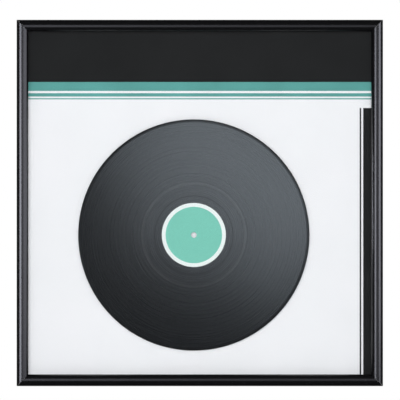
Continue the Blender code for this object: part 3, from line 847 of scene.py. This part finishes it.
def add_foam_pads(foam):
    """Soft discs, drawn in a little at the waist."""
    for corner in ("top_right", "bottom_right", "bottom_left", "top_left"):
        node = "foam_pad_" + corner
        low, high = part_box(node)
        radius = (high[0] - low[0]) / 2
        half = (high[1] - low[1]) / 2
        edge = half / 2
        waist = PAD_WAIST_SHARE * radius
        profile = [(0, -half)] + arc((radius - edge, edge - half), edge, -math.pi / 2, 0, EDGE_SEGMENTS)
        profile += [(radius - waist, 0)]
        profile += arc((radius - edge, half - edge), edge, 0, math.pi / 2, EDGE_SEGMENTS) + [(0, half)]
        mesh = turned_mesh(node, profile, PAD_SEGMENTS, (foam,))
        place = Matrix.Translation(node_middle(node))
        piece = add_piece("soft_pad_" + corner, mesh, node, "white_foam", place=place)


def plate_mesh(name, outer, hole, thickness, ease, material):
    """A flat plate between two loops of the same count, both faces eased at their edges."""

    def shrunk(loop, amount):
        """Each point moved in, square to the line between its neighbours."""
        moved = []
        for index, (x, z) in enumerate(loop):
            x0, z0 = loop[index - 1]
            x1, z1 = loop[(index + 1) % len(loop)]
            along = Vector((x1 - x0, z1 - z0)).normalized()
            moved.append((x - along.y * amount, z + along.x * amount))
        return moved

    loops = []
    for loop, way in ((outer, 1), (hole, -1)):
        for y, amount in ((0, ease), (ease, 0), (thickness - ease, 0), (thickness, ease)):
            loops.append([(x, y, z) for x, z in shrunk(loop, way * amount)])
    outer_loops, hole_loops = loops[:4], loops[4:]
    rings = outer_loops + hole_loops[::-1]
    count = len(outer)
    points = [point for ring in rings for point in ring]
    faces = []
    for ring in range(len(rings)):
        after_ring = (ring + 1) % len(rings)
        start = ring * count
        after_start = after_ring * count
        for here in range(count):
            after = (here + 1) % count
            faces.append((start + here, start + after, after_start + after, after_start + here))
    return mesh_of(name, points, faces, (material,))


def button_mesh(zinc, length, thickness):
    """A turn button with its pivot at the origin and its arm along -z."""
    reach = length - BUTTON_HEAD_RADIUS - BUTTON_TIP_RADIUS
    lean = math.asin((BUTTON_HEAD_RADIUS - BUTTON_TIP_RADIUS) / reach)
    outer = arc((0, 0), BUTTON_HEAD_RADIUS, -lean, math.pi + lean, BUTTON_SEGMENTS)
    outer += arc((0, -reach), BUTTON_TIP_RADIUS, math.pi + lean, 2 * math.pi - lean, BUTTON_SEGMENTS)
    hole = arc((0, 0), SCREW_SHANK_RADIUS + SEAT_GAP, -lean, 2 * math.pi - lean, len(outer))[:-1]
    return plate_mesh("turn_button", outer, hole, thickness, BUTTON_EASE, zinc)


def screw_mesh(
    name, materials, segments, shank_radius, shank_length, tip, head_radius, head_height, under_head
):
    """A point, a shank and a domed head, from the point up."""
    shank = SHANK_SHARE * shank_radius
    ease = HEAD_EASE_SHARE * head_height
    top = under_head + head_height
    brim = under_head + BRIM_SHARE * head_height
    profile = [(0, -shank_length), (shank, tip - shank_length), (shank, under_head)]
    profile += [(head_radius - ease, under_head), (head_radius, under_head + ease)]
    profile += dome(head_radius, 0, brim, top, HEAD_SEGMENTS)
    return turned_mesh(name, profile, segments, materials)


def cross_cutter(top):
    """The driver's recess for a screw's head: a cross that narrows towards its floor."""
    half_width = CROSS_WIDTH / 2
    rings = []
    for y, share in ((top - CROSS_DEPTH, CROSS_FLOOR_SHARE), (top + CROSS_DEPTH, 2 - CROSS_FLOOR_SHARE)):
        reach = share * CROSS_LENGTH / 2
        ring = []
        for turn in range(4):
            spin = Matrix.Rotation(turn * math.pi / 2, 4, "Y")
            for x, z in ((reach, half_width), (reach, -half_width), (half_width, -half_width)):
                ring.append(tuple(spin @ Vector((x, y, z))))
        rings.append(ring)
    return lofted_mesh("cross", rings, ())


def add_turn_buttons(zinc):
    """Buttons, each riding on its own body, and the screws that they turn on."""
    pivots = {joint["child"]: Vector(joint["pos_m"]) for joint in frame["record"]["behaviour"]["joints"]}
    low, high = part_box("turn_button_top_right")
    thickness = high[1] - low[1]
    plate = button_mesh(zinc, high[2] - low[2], thickness)
    screw_low, screw_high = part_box("button_screw_top_right")
    under_head = thickness + 2 * SEAT_GAP
    # The screw's second material is painted shade on the walls of its cross recess
    screw = screw_mesh(
        "button_screw",
        (zinc, painted_shade_recess()),
        SCREW_SEGMENTS,
        shank_radius=SCREW_SHANK_RADIUS,
        shank_length=low[1] - SEAT_GAP - screw_low[1],
        tip=SCREW_TIP_LENGTH,
        head_radius=(screw_high[0] - screw_low[0]) / 2,
        head_height=SCREW_HEAD_HEIGHT,
        under_head=under_head,
    )
    screw = carve(screw, [cross_cutter(under_head + SCREW_HEAD_HEIGHT)])
    for side, degrees in SIDES:
        for body, pivot in pivots.items():
            if not body.startswith("button_" + side + "_"):
                continue
            name = body.removeprefix("button_")
            turn = Matrix.Rotation(math.radians(degrees), 4, "Y")
            on_rail = Matrix.Translation((pivot.x, BACK_Y, pivot.z))
            lifted = Matrix.Translation((pivot.x, low[1], pivot.z))
            add_piece("zinc_button_" + name, plate, "turn_button_" + name, "zinc_steel", body, lifted @ turn)
            twist = math.radians(SCREW_TWIST_START + SCREW_TWIST_STEP * len(name))
            place = on_rail @ Matrix.Rotation(twist, 4, "Y")
            add_piece("zinc_screw_" + name, screw, "button_screw_" + name, "zinc_steel", place=place)


def add_hangers(brass):
    """Sawtooth strips as the CAD has them, and the nails through their feet."""
    nail_low, nail_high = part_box("hanger_nail_right_outer")
    nail = screw_mesh(
        "hanger_nail",
        (brass,),
        NAIL_SEGMENTS,
        shank_radius=NAIL_SHANK_RADIUS,
        shank_length=BACK_Y - nail_low[1],
        tip=NAIL_TIP_LENGTH,
        head_radius=(nail_high[0] - nail_low[0]) / 2,
        head_height=NAIL_HEAD_HEIGHT,
        under_head=nail_high[1] - NAIL_HEAD_HEIGHT - BACK_Y,
    )
    for hand in ("right", "left"):
        dress("hanger_" + hand, brass)
        for end in ("outer", "inner"):
            node = f"hanger_nail_{hand}_{end}"
            middle = node_middle(node)
            place = Matrix.Translation((middle.x, BACK_Y, middle.z))
            add_piece(f"brass_nail_{hand}_{end}", nail, node, "brass_plate", place=place)


def add_bumpers(rubber):
    """Moulded bumpers, domed to a flat top."""
    low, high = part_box("bumper_right")
    radius = (high[0] - low[0]) / 2
    height = high[1] - low[1]
    foot = BUMPER_FOOT_SHARE * height
    flat = BUMPER_FLAT_SHARE * radius
    profile = [(0, 0), (radius - foot, 0), (radius, foot)]
    profile += dome(radius, flat, BUMPER_DOME_SHARE * height, height, BUMPER_DOME_SEGMENTS)
    profile.append((0, height))
    mesh = turned_mesh("bumper", profile, BUMPER_SEGMENTS, (rubber,))
    for hand in ("right", "left"):
        middle = node_middle("bumper_" + hand)
        place = Matrix.Translation((middle.x, low[1], middle.z))
        add_piece("rubber_bumper_" + hand, mesh, "bumper_" + hand, "grey_rubber", place=place)


def aim(item, target):
    item.rotation_mode = "QUATERNION"
    item.rotation_quaternion = (Vector(target) - item.location).to_track_quat("-Z", "Y")


def add_softbox(name, place, target, size, radiance, gloss, only=None, colour=(1, 1, 1)):
    """A rectangular lamp of one radiance, for reflections alone if gloss is True, else for soft light alone.

    It shines on every piece, or only on those that are given.
    """
    lamp = bpy.data.lights.new(name, "AREA")
    lamp.shape = "RECTANGLE"
    lamp.size, lamp.size_y = size
    lamp.energy = radiance * math.pi * size[0] * size[1]
    lamp.color = colour
    item = bpy.data.objects.new(name, lamp)
    bpy.context.collection.objects.link(item)
    item.location = place
    aim(item, target)
    item.visible_camera = False
    item.visible_diffuse = not gloss
    item.visible_glossy = gloss
    item.visible_transmission = False
    if only:
        receivers = bpy.data.collections.new(name + "_receivers")
        for piece in only:
            receivers.objects.link(piece)
        item.light_linking.receiver_collection = receivers
    return item


def around(azimuth, elevation, distance, middle=MIDDLE):
    """A point round the frame: azimuth from straight in front to the right, elevation up, in degrees."""
    turn, rise = math.radians(azimuth), math.radians(elevation)
    aside = Vector((math.sin(turn) * math.cos(rise), -math.cos(turn) * math.cos(rise), math.sin(rise)))
    return middle + distance * aside


def add_world():
    """White to the camera and through glass, soft light all round, and a studio dark in front for gloss."""
    world = bpy.data.worlds.new("studio")
    bpy.context.scene.world = world
    world.use_nodes = True
    tree = world.node_tree
    tree.nodes.clear()
    rays = add_node(tree, "ShaderNodeLightPath")
    place = add_node(tree, "ShaderNodeTexCoord").outputs["Generated"]
    parts = add_node(tree, "ShaderNodeSeparateXYZ", {0: place})

    def ramp(axis, values):
        sockets = ("From Min", "From Max", "To Min", "To Max")
        inputs = {"Value": parts.outputs[axis], **dict(zip(sockets, values))}
        return add_node(tree, "ShaderNodeMapRange", inputs, interpolation_type="SMOOTHSTEP").outputs["Result"]

    def background(strength):
        inputs = {"Color": (1, 1, 1, 1), "Strength": strength}
        return add_node(tree, "ShaderNodeBackground", inputs).outputs[0]

    def mixed(share, first, second):
        return add_node(tree, "ShaderNodeMixShader", {0: share, 1: first, 2: second}).outputs[0]

    both = {0: ramp("Y", GLOSS_BY_DEPTH), 1: ramp("Z", GLOSS_BY_HEIGHT)}
    gloss = background(add_node(tree, "ShaderNodeMath", both, operation="MULTIPLY").outputs[0])
    seeing = {0: rays.outputs["Is Camera Ray"], 1: rays.outputs["Is Transmission Ray"]}
    seen = add_node(tree, "ShaderNodeMath", seeing, operation="MAXIMUM").outputs[0]
    soft = mixed(seen, background(AMBIENT), background(1.0))
    whole = mixed(rays.outputs["Is Glossy Ray"], soft, gloss)
    add_node(tree, "ShaderNodeOutputWorld", {"Surface": whole})


def add_floor():
    """A pale floor, below and apart from the frame, that stays pale in the camera and keeps soft shadows."""
    level = OUTER_LOW - FLOOR_GAP
    mesh = bpy.data.meshes.new("floor")
    corners = [(x * FLOOR_REACH, y * FLOOR_REACH, 0) for x, y in ((-1, -1), (1, -1), (1, 1), (-1, 1))]
    mesh.from_pydata(corners, [], [(0, 1, 2, 3)])
    look = Look("pale_floor", (0.85, 0.85, 0.85), 0.9)
    look.vary_roughness(look.noise(6, 2), 0.85, 0.95)
    glow = look.node("ShaderNodeEmission", {"Color": (1, 1, 1, 1), "Strength": 1.0})
    rays = look.node("ShaderNodeLightPath")
    away = look.node("ShaderNodeVectorMath", {0: look.place}, operation="LENGTH").outputs["Value"]
    fade = look.spread(away, FLOOR_GLOW, 1.0, FLOOR_FADE_START, FLOOR_FADE_END)
    share = look.math("MULTIPLY", rays.outputs["Is Camera Ray"], fade)
    mixed = look.node("ShaderNodeMixShader", {0: share, 1: look.shader.outputs[0], 2: glow.outputs[0]})
    look.tree.links.new(mixed.outputs[0], look.tree.nodes["Material Output"].inputs["Surface"])
    mesh.materials.append(look.material)
    floor = bpy.data.objects.new("floor", mesh)
    bpy.context.collection.objects.link(floor)
    floor.location.z = level
    floor.visible_glossy = False


def add_camera():
    """A long lens straight in front, so that the frame stays square."""
    data = bpy.data.cameras.new("camera")
    data.lens = data.sensor_width * CAMERA_DISTANCE / VIEW_WIDTH
    data.clip_end = 4 * CAMERA_DISTANCE
    camera = bpy.data.objects.new("camera", data)
    bpy.context.collection.objects.link(camera)
    camera.location = (VIEW_X, CROWN_Y + CROWN_RISE - CAMERA_DISTANCE, MIDDLE.z + VIEW_RISE)
    camera.rotation_euler = (math.radians(90), 0, 0)
    bpy.context.scene.camera = camera


def add_lights(rails, record):
    """Soft keys for the colours, and strips and panels that only show as reflections."""
    for keys, radiance in ((KEYS, KEY_RADIANCE), (BACK_KEYS, BACK_KEY_RADIANCE)):
        for azimuth, elevation in keys:
            place = around(azimuth, elevation, KEY_DISTANCE)
            add_softbox("key", place, MIDDLE, KEY_SIZE, radiance, gloss=False)
    for name, sides, azimuth, elevation, size, radiance in RAIL_LAMPS:
        middle = MIDDLE.copy()
        if sides in (("left",), ("right",)):
            middle.x += (SIGHT_LEFT - RAIL_FACE / 2) * (1 if sides == ("left",) else -1)
        only = [rails[side] for side in sides]
        place = around(azimuth, elevation, RAIL_LAMP_DISTANCE, middle)
        add_softbox(name, place, middle, size, radiance, True, only, RAIL_LAMP_COLOUR)
    # Gloss alone, on the record alone
    own = (True, [record], SHEEN_COLOUR)
    upward = Vector((math.cos(SHEEN_ANGLE), 0, math.sin(SHEEN_ANGLE)))
    sideways = Vector((upward.z, 0, -upward.x))
    turn = Matrix((sideways, upward, sideways.cross(upward))).transposed()
    for distance, edge, radiance in SHEEN_STEPS:
        middle = DISC_MIDDLE + Vector((0, -distance, 0)) + upward * (edge + SHEEN_SIZE[1] / 2)
        lamp = add_softbox("sheen", middle, DISC_MIDDLE, SHEEN_SIZE, radiance, *own)
        lamp.rotation_quaternion = turn.to_quaternion()
    place = DISC_MIDDLE + Vector((NEAR_BOX_ASIDE, -NEAR_BOX_DISTANCE, 0))
    add_softbox("near_box", place, DISC_MIDDLE, NEAR_BOX_SIZE, NEAR_BOX_RADIANCE, *own)
    for azimuth, elevation in SIDE_PANELS:
        place = around(azimuth, elevation, SIDE_PANEL_DISTANCE)
        panel = add_softbox("side_panel", place, DISC_MIDDLE, SIDE_PANEL_SIZE, SIDE_PANEL_RADIANCE, *own)
        panel.data.use_shadow = False


def main():
    bpy.context.scene.view_settings.view_transform = "Standard"
    lacquer = black_lacquer()
    wood = stained_wood()
    stock = card_stock("white_card", (0.885, 0.893, 0.925), (0.905, 0.912, 0.945), 0.5)
    charcoal = card_stock("charcoal_ink", (0.0145, 0.0153, 0.0163), (0.0178, 0.0186, 0.0198), 0.5)
    teal = card_stock("teal_ink", (0.098, 0.335, 0.310), (0.118, 0.40, 0.375), 0.5)
    zinc = zinc_steel()
    brass = brass_plate()

    rails = add_rails(lacquer, wood)
    steel = blued_steel()
    strip = black_strip()
    for node in frame["nodes"]:
        if node.startswith("v_nail_"):
            dress(node, steel)
        if node.startswith("spacer_"):
            dress(node, strip)
    add_pane(clear_glass())
    add_card(stock, charcoal, teal)
    label_teal = label_paper("label_teal", (0.19, 0.565, 0.46), (0.215, 0.615, 0.51))
    label_white = label_paper("label_white", (0.82, 0.885, 0.885), (0.86, 0.92, 0.92))
    plain = label_paper("plain_paper", (0.76, 0.76, 0.73), (0.82, 0.82, 0.8))
    disc = add_record(black_vinyl(), label_teal, label_white, plain)
    add_foam_pads(white_foam())
    dress("backing_board", brown_hardboard())
    add_turn_buttons(zinc)
    add_hangers(brass)
    add_bumpers(grey_rubber())

    add_camera()
    add_world()
    add_floor()
    add_lights(rails, disc)


main()
